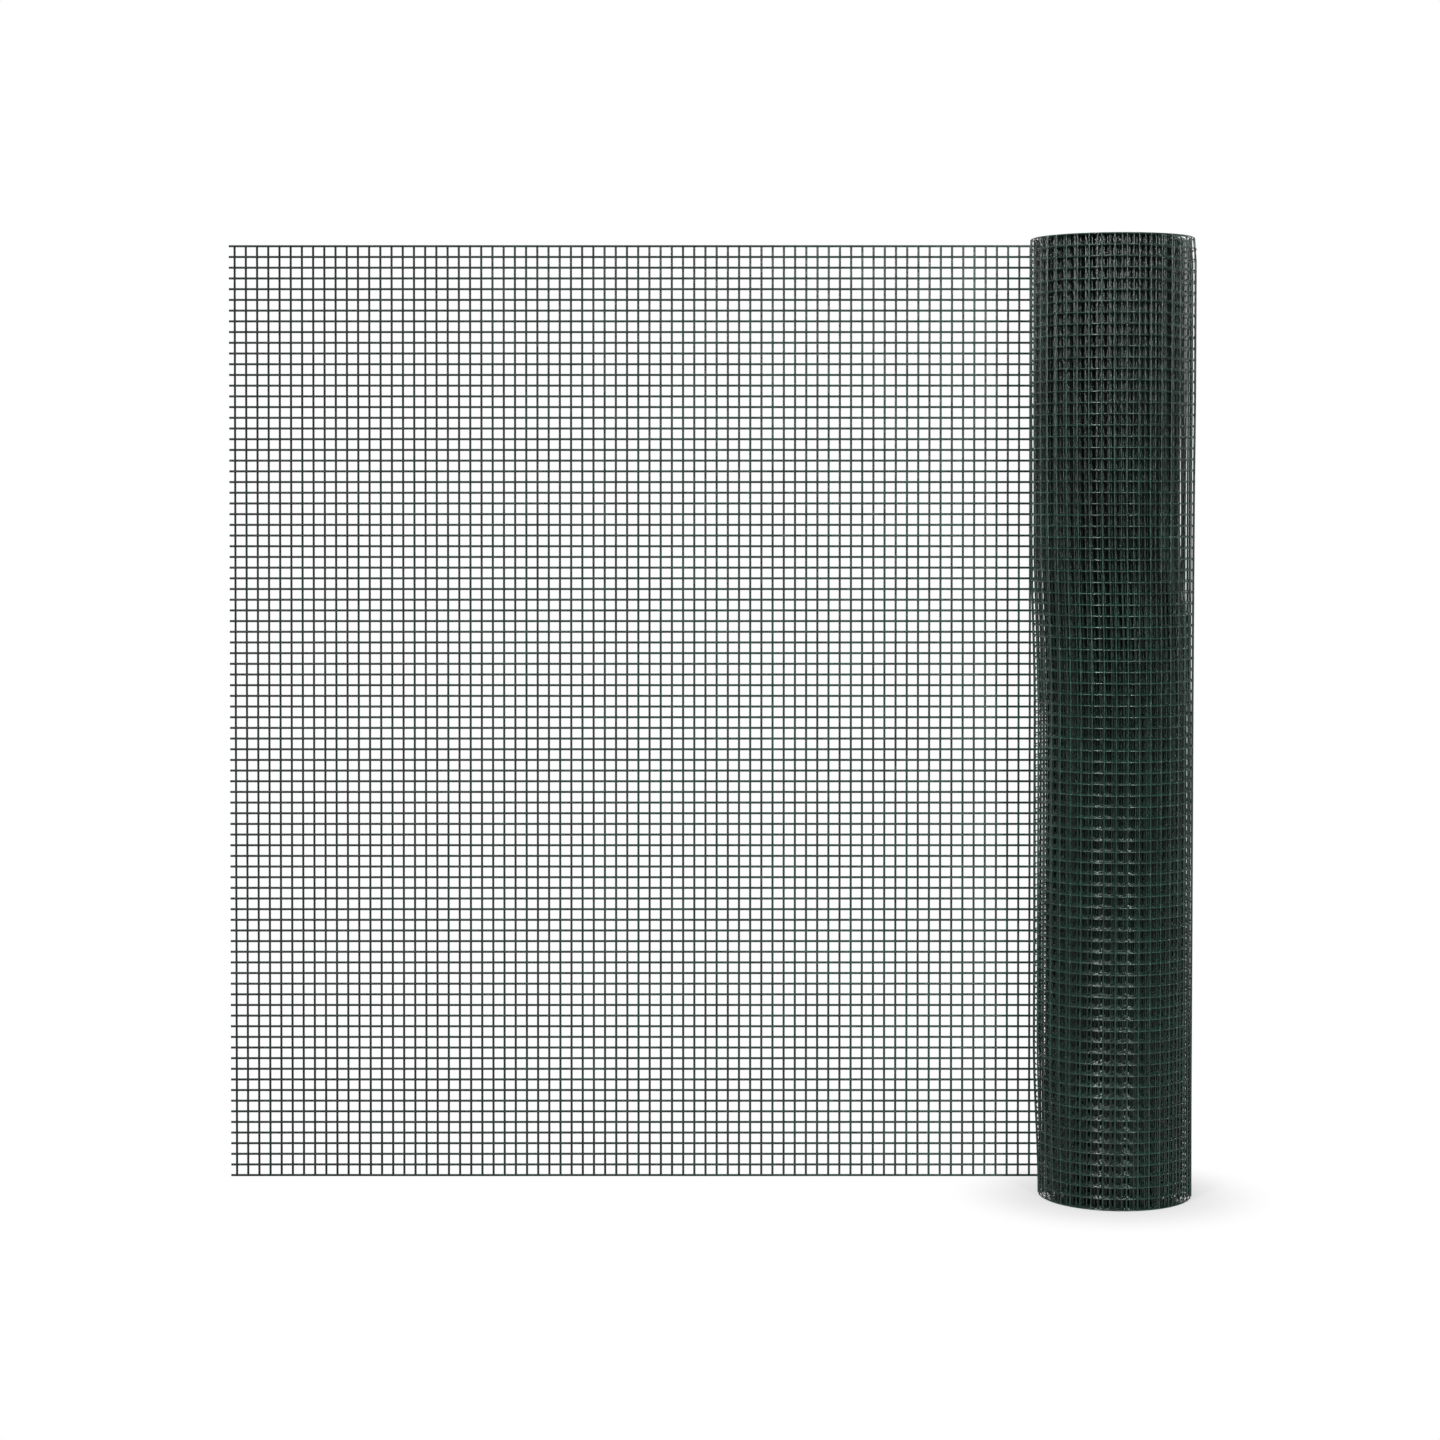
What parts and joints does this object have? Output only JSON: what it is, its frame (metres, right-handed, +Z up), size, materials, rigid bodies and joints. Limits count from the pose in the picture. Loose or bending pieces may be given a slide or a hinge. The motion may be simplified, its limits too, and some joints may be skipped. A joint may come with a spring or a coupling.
{
  "type": "roll of welded wire fencing",
  "caption": "Upright roll of dark green coated welded wire mesh, its outer end unrolled flat beside it: fencing stock to cut and tie to posts.",
  "frame": {"origin": "on the roll's axis, at the floor that the roll stands on", "axes": "+Z up along the roll's axis; the unrolled stretch leaves the back of the roll (+Y) and runs to -X"},
  "size_m": [1.0215, 0.1737, 1],
  "materials": {
    "coated_wire": "dark green PVC coat on galvanised steel wire, semi-gloss"
  },
  "bodies": {
    "root": {"flat_mesh_bay_1_foot": "coated_wire", "flat_mesh_bay_1_head": "coated_wire", "flat_mesh_bay_1_middle": "coated_wire", "flat_mesh_bay_2_foot": "coated_wire", "flat_mesh_bay_2_head": "coated_wire", "flat_mesh_bay_2_middle": "coated_wire", "flat_mesh_bay_3_foot": "coated_wire", "flat_mesh_bay_3_head": "coated_wire", "flat_mesh_bay_3_middle": "coated_wire", "flat_mesh_bay_4_foot": "coated_wire", "flat_mesh_bay_4_head": "coated_wire", "flat_mesh_bay_4_middle": "coated_wire", "flat_mesh_bay_5_foot": "coated_wire", "flat_mesh_bay_5_head": "coated_wire", "flat_mesh_bay_5_middle": "coated_wire", "flat_mesh_bay_6_foot": "coated_wire", "flat_mesh_bay_6_head": "coated_wire", "flat_mesh_bay_6_middle": "coated_wire", "roll": "coated_wire"}
  },
  "joints": []
}
